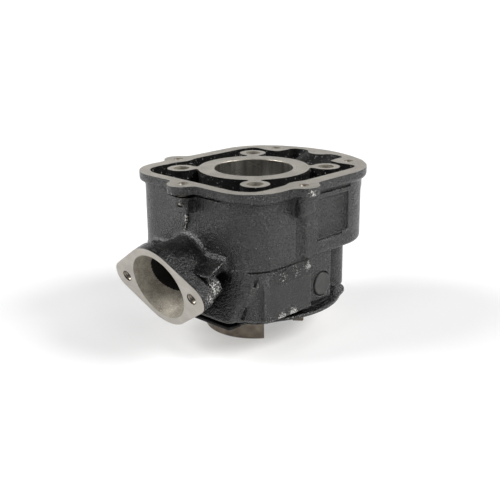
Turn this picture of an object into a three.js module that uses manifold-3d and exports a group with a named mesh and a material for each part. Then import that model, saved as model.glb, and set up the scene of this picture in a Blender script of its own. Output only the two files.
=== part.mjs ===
// A liquid-cooled two-stroke cylinder: one iron casting, split here into its named
// sections, with a pressed-in liner and a core plug in each transfer housing.
// Millimetres. The casting is laid out about the bore axis with z = 0 on the machined
// deck, the exhaust towards -Y. The exported group stands the part on z = 0.
import * as THREE from "three";
import { mergeVertices } from "three/addons/utils/BufferGeometryUtils.js";
import Module from "manifold-3d";

const wasm = await Module();
wasm.setup();

// ---------- driving dimensions ----------
const GAP = 0.3; // clearance between neighbouring sections
const BEYOND = 2; // how far a cutter runs past the face it cuts

const BORE_R = 19.96;
const LINER_R = 26;
const BARREL_R = 28.3; // outside of the ring round the liner
const STUD_PITCH = 52;
const STUD_HOLE_R = 4.1;
const BOSS_R = 7.1;
const WEB_WIDTH = 5.5;
const COLUMN_R = 9.5; // the rear stud columns below the jacket

// Heights below the deck.
const RIM_Z = -4.5;
const FLOOR_TOP_Z = -31;
const JACKET_Z = -38;
const BASE_TOP_Z = -62;
const BASE_Z = -66.6;
const SKIRT_Z = -83.5;

// Outline of the deck rim.
const HALF_WIDTH = 45.5;
const FRONT_Y = -48;
const REAR_Y = 58.7;
const FRONT_CORNER_R = 20;
const REAR_CORNER_R = 29.3;
const REAR_CORNER_Y = 24.4;
const WALL_INSET = 2.8; // the jacket wall stands this far inside the rim
const POCKET_INSET = 5.5;
const POCKET_HALF_WIDTH = 38.3;
const POCKET_LOBE_HALF_WIDTH = 18.5;
const POCKET_SHOULDER_Y = 37.8;

const COVER_HOLE_R = 2.5; // tapping size of an M6 screw
const COVER_HOLE_FLOOR = 2;
const COVER_LUGS = [
  { name: "front", x: 0, y: -49.5, r: 7.5, holeX: 0, holeY: -48, bottom: -13.2 },
  { name: "right", x: 43.6, y: -12, r: 7, holeX: 44.4, holeY: -12, bottom: -15.4 },
  { name: "left", x: -43.6, y: -12, r: 7, holeX: -44.4, holeY: -12, bottom: -15.4 },
  { name: "rear_right", x: 25.8, y: 44.7, r: 7.3, holeX: 25.8, holeY: 44.7, bottom: -15.4 },
  { name: "rear_left", x: -25.8, y: 44.7, r: 7.3, holeX: -25.8, holeY: 44.7, bottom: -15.4 },
];

// Exhaust flange: its face centre, and the tilt of its normal below the horizontal.
const FLANGE_CENTRE = new THREE.Vector3(0, -65.6, -47.2);
const FLANGE_TILT = THREE.MathUtils.degToRad(16.95);
const FLANGE_THICKNESS = 6.5;
const FLANGE_R = 21;
const EAR_PITCH = 47;
const EAR_R = 8;
const EAR_HOLE_R = 2.9; // tapping size of an M7 stud
const MOUTH_R = 17.3;
const THROAT_R = 12;
const PORT_HALF_WIDTH = 12;
const PORT_HALF_HEIGHT = 8.4;
const NECK_WALL = 3.3;
const NECK_BACK_R = 17.3;
const EAR_BOSS_LENGTH = 7.5;

// Lower body.
const BLOCK_X = 43.5;
const PAD_X = 41.5;
const BLOCK_REAR_Y = -5;
const PAD_REAR_Y = 12.6;
const FRONT_BLOCK_Y = -17.7; // the joint between front corner and transfer housing
const BOOT_HALF_WIDTH = 29.5;
const BOOT_Y = -50.4; // foot of the front wall, on the base flange
const BASE_R = 45.2;
const BASE_CORNER_R = 10.6;
const BOOST_HALF_WIDTH = 15.4;
const BOOST_Y = 36;

// Ports and passages.
const PORT_TOP_Z = -33;
const PORT_BOTTOM_Z = -41;
const PASSAGE_X = 37.5;
const PASSAGE_FRONT_Y = -14.5;
const PASSAGE_REAR_Y = 9.5;
const PASSAGE_SHOULDER_Z = -45;
const BOOST_PASSAGE_HALF_WIDTH = 7;
const BOOST_PASSAGE_Y = 33;
const TRANSFER_WINDOWS = [
  [-13.5, -2],
  [1.5, 9.2],
];
const SKIRT_FRONT_ANGLE = THREE.MathUtils.degToRad(-35.6); // where the front tongue ends
const SKIRT_REAR_ANGLE = THREE.MathUtils.degToRad(39); // where the rear tongue ends

const PLUG_R = 6.15;
const PLUG_Y = 5.5;
const PLUG_Z = -54;
const PLUG_PROUD = 1.1;

const HALF_PITCH = STUD_PITCH / 2;
const STUDS = [
  { name: "front_right", x: HALF_PITCH, y: -HALF_PITCH },
  { name: "front_left", x: -HALF_PITCH, y: -HALF_PITCH },
  { name: "rear_right", x: HALF_PITCH, y: HALF_PITCH },
  { name: "rear_left", x: -HALF_PITCH, y: HALF_PITCH },
];
const SIDES = [
  { name: "right", sign: 1 },
  { name: "left", sign: -1 },
];

// ---------- solids ----------
function toSolid(geometry) {
  geometry.deleteAttribute("normal");
  geometry.deleteAttribute("uv");
  const merged = mergeVertices(geometry, 1e-4);
  return new wasm.Manifold(
    new wasm.Mesh({
      numProp: 3,
      vertProperties: new Float32Array(merged.attributes.position.array),
      triVerts: new Uint32Array(merged.index.array),
    }),
  );
}

function toGeometry(solid) {
  const mesh = solid.getMesh();
  const geometry = new THREE.BufferGeometry();
  geometry.setAttribute("position", new THREE.BufferAttribute(mesh.vertProperties, 3));
  geometry.setIndex(new THREE.BufferAttribute(mesh.triVerts, 1));
  geometry.computeVertexNormals();
  return geometry;
}

function join(...solids) {
  return solids.reduce((all, solid) => all.add(solid));
}

function cut(solid, ...cutters) {
  return cutters.reduce((rest, cutter) => rest.subtract(cutter), solid);
}

function prism(shape, bottom, top, curveSegments = 6) {
  const options = { depth: top - bottom, bevelEnabled: false, curveSegments };
  return toSolid(new THREE.ExtrudeGeometry(shape, options).translate(0, 0, bottom));
}

function box(x0, x1, y0, y1, z0, z1) {
  const geometry = new THREE.BoxGeometry(x1 - x0, y1 - y0, z1 - z0);
  return toSolid(geometry.translate((x0 + x1) / 2, (y0 + y1) / 2, (z0 + z1) / 2));
}

function disc(x, y, radius, bottom, top, segments = 24) {
  const geometry = new THREE.CylinderGeometry(radius, radius, top - bottom, segments);
  return toSolid(geometry.rotateX(Math.PI / 2).translate(x, y, (bottom + top) / 2));
}

// A solid cut from a profile in the YZ plane, running from x0 to x1.
function profileAlongX(points, x0, x1) {
  const shape = new THREE.Shape(points.map(([y, z]) => new THREE.Vector2(y, z)));
  const geometry = new THREE.ExtrudeGeometry(shape, { depth: x1 - x0, bevelEnabled: false });
  const axes = new THREE.Matrix4().makeBasis(
    new THREE.Vector3(0, 1, 0),
    new THREE.Vector3(0, 0, 1),
    new THREE.Vector3(1, 0, 0),
  );
  return toSolid(geometry.applyMatrix4(axes).translate(x0, 0, 0));
}

// ---------- outlines ----------
// The rim's outline, moved inwards by inset: two front corners, two rear corners and a
// bowed rear edge that meets the rear corners tangentially.
function rimOutline(inset) {
  const frontX = HALF_WIDTH - FRONT_CORNER_R;
  const frontY = FRONT_Y + FRONT_CORNER_R;
  const rearX = HALF_WIDTH - REAR_CORNER_R;
  const reach = REAR_Y - REAR_CORNER_Y - REAR_CORNER_R;
  const drop = (rearX * rearX - reach * reach) / (2 * reach);
  const rearR = REAR_Y - REAR_CORNER_Y + drop;
  const turn = Math.atan2(drop, rearX);
  const shape = new THREE.Shape();
  shape.absarc(frontX, frontY, FRONT_CORNER_R - inset, -Math.PI / 2, 0, false);
  shape.absarc(rearX, REAR_CORNER_Y, REAR_CORNER_R - inset, 0, turn, false);
  shape.absarc(0, REAR_CORNER_Y - drop, rearR - inset, turn, Math.PI - turn, false);
  shape.absarc(-rearX, REAR_CORNER_Y, REAR_CORNER_R - inset, Math.PI - turn, Math.PI, false);
  shape.absarc(-frontX, frontY, FRONT_CORNER_R - inset, Math.PI, 1.5 * Math.PI, false);
  return shape;
}

// The water pocket between rim and bore ring, shrunk by inset.
function pocket(bottom, top, inset) {
  const side = POCKET_HALF_WIDTH - inset;
  const lobe = POCKET_LOBE_HALF_WIDTH - inset;
  const shoulder = POCKET_SHOULDER_Y - inset;
  const [low, high] = [bottom - BEYOND, top + BEYOND];
  const sides = box(-side, side, -100, 100, low, high);
  const whole = prism(rimOutline(POCKET_INSET + inset), bottom, top).intersect(sides);
  const rear = COVER_LUGS.filter((lug) => lug.name.startsWith("rear"));
  return cut(
    whole,
    box(lobe, 100, shoulder, 100, low, high),
    box(-100, -lobe, shoulder, 100, low, high),
    ...rear.map((lug) => disc(lug.x, lug.y, lug.r + inset, low, high)),
  );
}

function lugDisc(lug, grow, bottom, top) {
  return disc(lug.x, lug.y, lug.r + grow, bottom, top);
}

function coverHole(lug) {
  return disc(lug.holeX, lug.holeY, COVER_HOLE_R, lug.bottom + COVER_HOLE_FLOOR, BEYOND, 12);
}

// The ring's outside, which every neighbour keeps clear of.
function barrelCutter(grow = GAP) {
  return disc(0, 0, BARREL_R + grow, BASE_Z - BEYOND, BEYOND, 48);
}

function linerCutter() {
  return disc(0, 0, LINER_R + GAP, BASE_Z - BEYOND, BEYOND, 48);
}

function studHole(stud) {
  return disc(stud.x, stud.y, STUD_HOLE_R, BASE_Z - BEYOND, BEYOND, 16);
}

// ---------- exhaust ----------
// The flange's own frame: x across the ears, y up the face, z out of the face.
const flangeMatrix = new THREE.Matrix4()
  .makeRotationX(Math.PI / 2 + FLANGE_TILT)
  .setPosition(FLANGE_CENTRE);

// A round or oval tube along the flange's axis, from depth a to depth b behind its face.
function alongExhaust(radiusA, radiusB, a, b, halfHeight = 1, segments = 32) {
  const geometry = new THREE.CylinderGeometry(radiusA, radiusB, b - a, segments);
  geometry.rotateX(Math.PI / 2);
  geometry.scale(1, halfHeight, 1);
  geometry.translate(0, 0, -(a + b) / 2);
  return toSolid(geometry.applyMatrix4(flangeMatrix));
}

const MOUTH_LENGTH = 30;
const PORT_START = 24;
const PORT_LENGTH = 60;
const NECK_LENGTH = 27;

function exhaustDuct() {
  return join(
    alongExhaust(MOUTH_R, THROAT_R, 0, MOUTH_LENGTH),
    alongExhaust(
      PORT_HALF_WIDTH,
      PORT_HALF_WIDTH,
      PORT_START,
      PORT_LENGTH - BEYOND,
      PORT_HALF_HEIGHT / PORT_HALF_WIDTH,
    ),
  ).add(alongExhaust(MOUTH_R, MOUTH_R, -BEYOND, 0.01));
}

function neckOutside(grow) {
  const width = PORT_HALF_WIDTH + NECK_WALL + grow;
  const height = PORT_HALF_HEIGHT + NECK_WALL + grow;
  const start = FLANGE_THICKNESS + GAP - grow;
  return join(
    alongExhaust(FLANGE_R - 1 + grow, NECK_BACK_R + grow, start, NECK_LENGTH + grow),
    alongExhaust(width, width, PORT_START, PORT_LENGTH - 2 * BEYOND, height / width),
  );
}

function ovalFlangeOutline() {
  const earX = EAR_PITCH / 2;
  const turn = Math.acos((FLANGE_R - EAR_R) / earX);
  const shape = new THREE.Shape();
  shape.absarc(earX, 0, EAR_R, -turn, turn, false);
  shape.absarc(0, 0, FLANGE_R, turn, Math.PI - turn, false);
  shape.absarc(-earX, 0, EAR_R, Math.PI - turn, Math.PI + turn, false);
  shape.absarc(0, 0, FLANGE_R, Math.PI + turn, 2 * Math.PI - turn, false);
  return shape;
}

// The flange plate with a stud boss behind each ear, in the flange's own frame.
function exhaustFlange() {
  const back = -FLANGE_THICKNESS;
  const plate = prism(ovalFlangeOutline(), back, 0);
  const mouthLoss = ((MOUTH_R - THROAT_R) * FLANGE_THICKNESS) / MOUTH_LENGTH;
  const mouth = new THREE.CylinderGeometry(
    MOUTH_R - mouthLoss,
    MOUTH_R,
    FLANGE_THICKNESS,
    32,
  );
  const hole = toSolid(mouth.rotateX(-Math.PI / 2).translate(0, 0, back / 2));
  const bossFloor = back - EAR_BOSS_LENGTH;
  const ears = [-EAR_PITCH / 2, EAR_PITCH / 2];
  const bosses = ears.map((x) => disc(x, 0, EAR_R - 1.8, bossFloor, back + 1));
  const neckClearance = disc(0, 0, FLANGE_R - 1 + GAP, bossFloor - 1, back);
  const studHoles = ears.map((x) => disc(x, 0, EAR_HOLE_R, bossFloor + 2, BEYOND, 16));
  return cut(join(plate, ...bosses), neckClearance, hole, ...studHoles);
}

// ---------- passages ----------
function transferPassage(sign) {
  const shape = new THREE.Shape([
    new THREE.Vector2(LINER_R - BEYOND, BASE_Z - BEYOND),
    new THREE.Vector2(PASSAGE_X, BASE_Z - BEYOND),
    new THREE.Vector2(PASSAGE_X, PASSAGE_SHOULDER_Z),
    new THREE.Vector2(LINER_R - BEYOND, PORT_TOP_Z),
  ]);
  const depth = PASSAGE_REAR_Y - PASSAGE_FRONT_Y;
  const geometry = new THREE.ExtrudeGeometry(shape, { depth, bevelEnabled: false });
  geometry.rotateX(Math.PI / 2).translate(0, PASSAGE_REAR_Y, 0);
  if (sign < 0) geometry.rotateZ(Math.PI).translate(0, PASSAGE_FRONT_Y + PASSAGE_REAR_Y, 0);
  return toSolid(geometry);
}

function boostPassage() {
  return profileAlongX(
    [
      [LINER_R - BEYOND, BASE_Z - BEYOND],
      [BOOST_PASSAGE_Y, BASE_Z - BEYOND],
      [BOOST_PASSAGE_Y, PASSAGE_SHOULDER_Z],
      [LINER_R - BEYOND, PORT_TOP_Z],
    ],
    -BOOST_PASSAGE_HALF_WIDTH,
    BOOST_PASSAGE_HALF_WIDTH,
  );
}

// The windows in the bore wall, as cutters that reach out past the barrel ring.
function portWindows() {
  const reach = BARREL_R + BEYOND;
  const inner = BORE_R - 9;
  const windows = SIDES.flatMap(({ sign }) =>
    TRANSFER_WINDOWS.map(([y0, y1]) => {
      const [x0, x1] = sign > 0 ? [inner, reach] : [-reach, -inner];
      return box(x0, x1, y0, y1, PORT_BOTTOM_Z, PORT_TOP_Z);
    }),
  );
  const half = BOOST_PASSAGE_HALF_WIDTH;
  return [...windows, box(-half, half, inner, reach, PORT_BOTTOM_Z, PORT_TOP_Z)];
}

const duct = exhaustDuct();
const windows = portWindows();
const passages = [transferPassage(1), transferPassage(-1), boostPassage()];

// ---------- sections of the casting ----------
function deckRim() {
  const lugs = COVER_LUGS.map((lug) => lugDisc(lug, 0, RIM_Z, 0));
  const opening = pocket(RIM_Z - BEYOND, BEYOND, 0);
  const plate = cut(prism(rimOutline(0), RIM_Z, 0), opening);
  return cut(join(plate, ...lugs), ...COVER_LUGS.map(coverHole));
}

function coverLugColumn(lug) {
  return cut(lugDisc(lug, 0, lug.bottom, RIM_Z - GAP), coverHole(lug));
}

function lugColumnCutters() {
  return COVER_LUGS.map((lug) => lugDisc(lug, GAP, lug.bottom - GAP, 0));
}

function jacketWall() {
  const wall = prism(rimOutline(WALL_INSET), JACKET_Z, RIM_Z - GAP);
  const inside = pocket(JACKET_Z - BEYOND, RIM_Z + BEYOND, 0);
  return cut(wall, inside, neckOutside(GAP), ...lugColumnCutters());
}

// The boss round a stud and its web to the bore ring, from the deck to the jacket's foot.
function studBoss(stud, grow, bottom, top) {
  const [x, y] = [stud.x, stud.y];
  const web = new THREE.BoxGeometry(Math.hypot(x, y), WEB_WIDTH + 2 * grow, top - bottom);
  web.rotateZ(Math.atan2(y, x)).translate(x / 2, y / 2, (bottom + top) / 2);
  return cut(join(disc(x, y, BOSS_R + grow, bottom, top), toSolid(web)), barrelCutter(0));
}

function jacketFloor() {
  const bosses = STUDS.map((stud) => studBoss(stud, GAP, JACKET_Z - BEYOND, FLOOR_TOP_Z + BEYOND));
  const plate = pocket(JACKET_Z, FLOOR_TOP_Z, GAP);
  return cut(plate, barrelCutter(), neckOutside(GAP), ...bosses, ...passages);
}

function boreBarrel() {
  const tube = disc(0, 0, BARREL_R, BASE_TOP_Z + GAP, 0, 48);
  return cut(tube, linerCutter(), duct, ...windows);
}

// The wall below the jacket: front corners, transfer blocks and pads in one outline.
function lowerOutline() {
  const half = HALF_WIDTH - WALL_INSET;
  const radius = FRONT_CORNER_R - WALL_INSET;
  const shape = new THREE.Shape();
  shape.absarc(half - radius, FRONT_Y + FRONT_CORNER_R, radius, -Math.PI / 2, 0, false);
  shape.lineTo(BLOCK_X, FRONT_Y + FRONT_CORNER_R + 1);
  shape.lineTo(BLOCK_X, BLOCK_REAR_Y);
  shape.lineTo(PAD_X, BLOCK_REAR_Y + 1);
  shape.lineTo(PAD_X, PAD_REAR_Y);
  shape.lineTo(0, PAD_REAR_Y);
  shape.lineTo(0, FRONT_Y + WALL_INSET);
  return shape;
}

// The front wall leans forwards from the jacket's foot to the edge of the base flange.
function bootProfile() {
  return [
    [FRONT_Y + WALL_INSET, JACKET_Z - GAP],
    [BOOT_Y + 1.5, BASE_TOP_Z + 5],
    [BOOT_Y + 0.5, BASE_TOP_Z + GAP],
    [FRONT_BLOCK_Y, BASE_TOP_Z + GAP],
    [FRONT_BLOCK_Y, JACKET_Z - GAP],
  ];
}

const NECK_HALF_WIDTH = 14;
const FAR = 100;

// The lower wall on one side of the mirror plane, clear of the ring and the neck.
function lowerWall(sign) {
  const wall = prism(lowerOutline(), BASE_TOP_Z + GAP, JACKET_Z - GAP);
  const boot = profileAlongX(bootProfile(), NECK_HALF_WIDTH, BOOT_HALF_WIDTH);
  const right = join(wall, boot);
  const half = sign > 0 ? right : right.mirror([1, 0, 0]);
  return cut(half, barrelCutter(), neckOutside(GAP));
}

function sideBox(sign, x0, x1, y0, y1) {
  const [low, high] = sign > 0 ? [x0, x1] : [-x1, -x0];
  return box(low, high, y0, y1, BASE_Z, 0);
}

function studColumn(stud) {
  const boss = studBoss(stud, 0, JACKET_Z - GAP - 1, 0);
  const clear = cut(boss, barrelCutter());
  if (stud.y > 0) {
    const foot = disc(stud.x, stud.y, COLUMN_R, BASE_TOP_Z + GAP, JACKET_Z - GAP);
    return cut(join(clear, cut(foot, barrelCutter())), studHole(stud));
  }
  const sign = Math.sign(stud.x);
  const region = sideBox(sign, NECK_HALF_WIDTH + GAP, FAR, -FAR, FRONT_BLOCK_Y - GAP / 2);
  const corner = lowerWall(sign).intersect(region);
  return cut(join(clear, corner), studHole(stud));
}

function plugHole(sign, grow) {
  const length = PAD_X + PLUG_PROUD - PASSAGE_X + 2 * grow;
  const geometry = new THREE.CylinderGeometry(PLUG_R + grow, PLUG_R + grow, length, 32);
  const middle = (PAD_X + PLUG_PROUD + PASSAGE_X) / 2;
  return toSolid(geometry.rotateZ(Math.PI / 2).translate(sign * middle, PLUG_Y, PLUG_Z));
}

function transferHousing(sign) {
  const region = sideBox(sign, 0, FAR, FRONT_BLOCK_Y + GAP / 2, FAR);
  return cut(lowerWall(sign).intersect(region), plugHole(sign, GAP), ...passages);
}

function boostHousing() {
  const half = BOOST_HALF_WIDTH;
  const block = box(-half, half, 0, BOOST_Y, BASE_TOP_Z + GAP, JACKET_Z - GAP);
  const front = box(-half, half, -FAR, LINER_R - 4, BASE_Z, 0);
  const columns = STUDS.map((stud) => disc(stud.x, stud.y, COLUMN_R + GAP, BASE_Z, 0));
  return cut(block, front, barrelCutter(), boostPassage(), ...columns);
}

function baseFlange() {
  const corners = STUDS.map((stud) => disc(stud.x, stud.y, BASE_CORNER_R, BASE_Z, BASE_TOP_Z));
  const half = BOOT_HALF_WIDTH;
  const toe = box(-half, half, BOOT_Y, -HALF_PITCH, BASE_Z, BASE_TOP_Z);
  const plate = join(disc(0, 0, BASE_R, BASE_Z, BASE_TOP_Z, 48), toe, ...corners);
  return cut(plate, linerCutter(), ...passages, ...STUDS.map(studHole));
}

function exhaustNeck() {
  const belly = profileAlongX(bootProfile(), -NECK_HALF_WIDTH, NECK_HALF_WIDTH);
  const front = belly.intersect(box(-FAR, FAR, -FAR, -BORE_R, BASE_Z, 0));
  const behind = box(-FAR, FAR, -BORE_R, FAR, -FAR, FAR);
  const baseClearance = box(-FAR, FAR, BOOT_Y - GAP, FAR, -FAR, BASE_TOP_Z + GAP);
  return cut(join(neckOutside(0), front), behind, baseClearance, barrelCutter(), duct);
}

function liner() {
  const sleeve = disc(0, 0, LINER_R, SKIRT_Z, 0, 48);
  const bore = disc(0, 0, BORE_R, SKIRT_Z - BEYOND, BEYOND, 48);
  const far = 2 * LINER_R;
  const notches = SIDES.map(({ sign }) => {
    const corners = [
      new THREE.Vector2(0, 0),
      new THREE.Vector2(far * Math.cos(SKIRT_FRONT_ANGLE), far * Math.sin(SKIRT_FRONT_ANGLE)),
      new THREE.Vector2(far * Math.cos(SKIRT_REAR_ANGLE), far * Math.sin(SKIRT_REAR_ANGLE)),
    ];
    const notch = prism(new THREE.Shape(corners), SKIRT_Z - BEYOND, BASE_Z);
    return sign > 0 ? notch : notch.mirror([1, 0, 0]);
  });
  return cut(sleeve, bore, duct, ...windows, ...notches);
}

// ---------- scene ----------
function iron(color, roughness, metalness) {
  return new THREE.MeshStandardMaterial({ color, roughness, metalness });
}

const coatedIron = () => iron(0x2b2b2a, 0.55, 0.5);
const machinedIron = () => iron(0xaaa49b, 0.35, 0.8);
const bareIron = () => iron(0x6a625c, 0.5, 0.7);

function named(name, solid, material) {
  const mesh = new THREE.Mesh(toGeometry(solid), material);
  mesh.name = name;
  return mesh;
}

const cylinder = new THREE.Group();
cylinder.add(
  named("cylinder_liner", liner(), bareIron()),
  named("casting_deck_rim", deckRim(), machinedIron()),
  named("casting_jacket_wall", jacketWall(), coatedIron()),
  named("casting_jacket_floor", jacketFloor(), coatedIron()),
  named("casting_bore_barrel", boreBarrel(), machinedIron()),
  named("casting_base_flange", baseFlange(), coatedIron()),
  named("casting_boost_housing", boostHousing(), coatedIron()),
  named("casting_exhaust_neck", exhaustNeck(), coatedIron()),
);
for (const lug of COVER_LUGS) {
  cylinder.add(named("casting_cover_lug_" + lug.name, coverLugColumn(lug), coatedIron()));
}
for (const stud of STUDS) {
  cylinder.add(named("casting_stud_column_" + stud.name, studColumn(stud), coatedIron()));
}
for (const { name, sign } of SIDES) {
  cylinder.add(
    named("casting_transfer_housing_" + name, transferHousing(sign), coatedIron()),
    named("core_plug_" + name, plugHole(sign, 0), coatedIron()),
  );
}

const flangeFrame = new THREE.Group();
flangeFrame.position.copy(FLANGE_CENTRE);
flangeFrame.rotation.x = Math.PI / 2 + FLANGE_TILT;
flangeFrame.add(named("casting_exhaust_flange", exhaustFlange(), machinedIron()));
cylinder.add(flangeFrame);

// The most forward point is the top of the tilted flange; the rear one is the rim.
const frontExtent = FLANGE_CENTRE.y - FLANGE_R * Math.sin(FLANGE_TILT);
cylinder.position.set(0, -(frontExtent + REAR_Y) / 2, -SKIRT_Z);

const part = new THREE.Group();
part.add(cylinder);

export default part;
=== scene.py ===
"""Looks for the liquid-cooled two-stroke cylinder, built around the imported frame.

The casting is one body: it is described as a signed distance field in millimetres about
the bore axis (z = 0 on the deck, exhaust towards -Y), turned into a mesh, and then cut flat
where the real part is machined. The liner, the core plugs and the threads are their own
pieces.
"""

import math

import bmesh
import bpy
import numpy as np
import openvdb
from mathutils import Matrix, Vector, noise


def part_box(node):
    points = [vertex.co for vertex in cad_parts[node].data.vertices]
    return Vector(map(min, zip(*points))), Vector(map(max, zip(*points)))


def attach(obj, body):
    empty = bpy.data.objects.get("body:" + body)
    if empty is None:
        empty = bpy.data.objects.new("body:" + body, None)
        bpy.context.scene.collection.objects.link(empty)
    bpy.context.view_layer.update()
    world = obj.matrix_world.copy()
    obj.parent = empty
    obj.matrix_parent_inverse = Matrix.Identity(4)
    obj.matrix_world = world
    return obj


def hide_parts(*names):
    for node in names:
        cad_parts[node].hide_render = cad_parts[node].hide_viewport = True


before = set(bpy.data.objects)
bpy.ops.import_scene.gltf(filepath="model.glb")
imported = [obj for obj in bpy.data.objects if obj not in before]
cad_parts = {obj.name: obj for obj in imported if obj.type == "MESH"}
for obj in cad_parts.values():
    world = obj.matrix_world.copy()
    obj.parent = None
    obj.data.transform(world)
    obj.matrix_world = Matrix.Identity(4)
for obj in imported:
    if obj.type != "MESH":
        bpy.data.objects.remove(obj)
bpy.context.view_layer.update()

MM = 0.001

# ---------- where the frame puts the object ----------
LINER_LOW, LINER_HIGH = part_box("cylinder_liner")
AXIS = Vector((0, (LINER_LOW.y + LINER_HIGH.y) / 2, LINER_HIGH.z))
BASE_Z = (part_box("casting_base_flange")[0].z - AXIS.z) / MM
SKIRT_Z = (LINER_LOW.z - AXIS.z) / MM
LINER_R = (LINER_HIGH.x - LINER_LOW.x) / 2 / MM
REAR_Y = (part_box("casting_deck_rim")[1].y - AXIS.y) / MM

# ---------- driving dimensions, as in the CAD source, in millimetres ----------
BORE_R = 19.96
BARREL_R = 28.3
HALF_PITCH = 26.0
STUD_HOLE_R = 4.1
BOSS_R = 7.1
WEB_HALF_WIDTH = 2.7
COLUMN_R = 9.5
RIM_Z = -4.5
FLOOR_TOP_Z = -31.0
JACKET_Z = -38.0
BASE_TOP_Z = -62.0
UNDERCUT_TOP_Z = -62.3
LIP_TOP_Z = -65.1
TOE_RECESS_Y = -47.8
LUG_R = 7.4
HALF_WIDTH = 45.5
FRONT_Y = -48.0
FRONT_CORNER_R = 20.0
REAR_CORNER_R = 29.3
REAR_CORNER_Y = 24.4
WALL_INSET = 2.8
POCKET_INSET = 5.5
POCKET_HALF_WIDTH = 38.3
POCKET_LOBE_HALF_WIDTH = 18.5
POCKET_SHOULDER_Y = 37.8
COVER_HOLE_R = 2.5
COVER_HOLE_DEPTH = 11.0
LUG_COLUMN_Z = -15.4
FLANGE_Y = -65.6
FLANGE_Z = -47.2
FLANGE_TILT = math.radians(16.95)
FLANGE_THICKNESS = 6.5
FLANGE_R = 21.0
EAR_X = 23.5
BARE_MOUTH = 9.8
EAR_R = 8.0
EAR_HOLE_R = 2.9
EAR_HOLE_DEPTH = 12.0
EAR_BOSS_R = 6.4
NECK_R = 14.6
MOUTH_R = 17.3
THROAT_R = 12.0
THROAT_HALF_HEIGHT = 8.6
DUCT_TAPER_LENGTH = 32.0
BLOCK_X = 43.5
BLOCK_FRONT_Y = -37.8
LEFT_BLOCK_FRONT_Y = -29.2
PAD_X = 41.5
BOOT_HALF_WIDTH = 29.5
BASE_R = 45.2
BASE_CORNER_R = 10.6
PLUG_R = 5.9
PLUG_SEAT_R = 6.35
PLUG_Y = 5.5
PLUG_Z = -54.0
STUDS = [(sx * HALF_PITCH, sy * HALF_PITCH) for sx in (1, -1) for sy in (-1, 1)]
# The liner's windows. Each side has two transfer windows, given as (y from, y to).
PORT_HALF_HEIGHT = 8.4
TRANSFER_WINDOWS = [(-13.5, -2.0), (1.5, 9.2)]
BOOST_HALF_WIDTH = 6.5
WINDOW_LOW_Z, WINDOW_HIGH_Z = -41.0, -33.0
WINDOW_CORNER_R = 1.6
SKIRT_FRONT_ANGLE = math.radians(-35.6)
SKIRT_REAR_ANGLE = math.radians(39.0)
# Centres of the cover-screw holes. The front lug stands a little ahead of its hole.
FRONT_LUG_Y = -48.4
SIDE_LUGS = [(44.4, -12.0), (-44.4, -12.0)]
REAR_LUGS = [(25.8, 44.7), (-25.8, 44.7)]
FRONT_LUG = (0.0, -48.0)
LUG_HOLES = [FRONT_LUG, *SIDE_LUGS, *REAR_LUGS]
# The plain panel on each side of the jacket.
PANEL_Y0, PANEL_Y1 = 0.6, 23.6
PANEL_Z0, PANEL_Z1 = -29.2, -9.8
PANEL_X = 41.6
# The cored passages behind the transfer and boost windows.
PASSAGE_X0, PASSAGE_X1 = 24.0, 37.5
PASSAGE_Y0, PASSAGE_Y1 = -14.5, 9.5
BOOST_Y0, BOOST_Y1 = 24.0, 33.0
PASSAGE_ROOF_Z = -40.0
# Screw threads: minor radius, major radius, pitch, bottom and top.
EAR_THREAD = (2.4, 2.85, 1.0, -10.0, -0.5)
COVER_THREAD = (2.0, 2.45, 1.0, -10.0, -0.5)

# ---------- the grid ----------
STEP = 0.5
GRAIN = 0.02  # how far the sand-cast skin wanders, in millimetres
GRID_LOW = np.array([-53.0, -74.0, -69.0])
GRID_HIGH = np.array([53.0, 61.0, 2.0])
COUNTS = np.ceil((GRID_HIGH - GRID_LOW) / STEP).astype(int) + 1
AXES = [
    np.float32(GRID_LOW[i]) + np.float32(STEP) * np.arange(COUNTS[i], dtype=np.float32)
    for i in range(3)
]
X = AXES[0][:, None, None]
Y = AXES[1][None, :, None]
Z = AXES[2][None, None, :]


# ---------- signed distance tools ----------
def smin(a, b, k):
    h = np.maximum(k - np.abs(a - b), 0) / k
    return np.minimum(a, b) - h * h * (k / 4)


def smax(a, b, k):
    return -smin(-a, -b, k)


def slab(z0, z1):
    return np.maximum(z0 - Z, Z - z1)


def circle(cx, cy, r):
    return np.hypot(X - np.float32(cx), Y - np.float32(cy)) - np.float32(r)


def rounded_box(cx, cy, hx, hy, r):
    dx = np.abs(X - np.float32(cx)) - np.float32(hx - r)
    dy = np.abs(Y - np.float32(cy)) - np.float32(hy - r)
    return np.hypot(np.maximum(dx, 0), np.maximum(dy, 0)) + np.minimum(np.maximum(dx, dy), 0) - r


def arc(cx, cy, r, a0, a1, steps):
    return [(cx + r * math.cos(a), cy + r * math.sin(a)) for a in np.linspace(a0, a1, steps)]


def polygon_field(points):
    """Signed distance in the XY plane to a closed polygon, negative inside."""
    px, py = X[:, :, 0], Y[:, :, 0]
    nearest = np.full((COUNTS[0], COUNTS[1]), 1e9, np.float32)
    inside = np.zeros(nearest.shape, bool)
    for (ax, ay), (bx, by) in zip(points, points[1:] + points[:1]):
        ex, ey = bx - ax, by - ay
        length = ex * ex + ey * ey
        if length < 1e-12:
            continue
        t = np.clip(((px - ax) * ex + (py - ay) * ey) / length, 0, 1)
        nearest = np.minimum(nearest, (px - ax - t * ex) ** 2 + (py - ay - t * ey) ** 2)
        crosses = (ay > py) != (by > py)
        if ay != by:
            inside ^= crosses & (px < ax + (py - ay) * ex / ey)
    field = np.sqrt(nearest)
    return np.where(inside, -field, field)[:, :, None].astype(np.float32)


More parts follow.
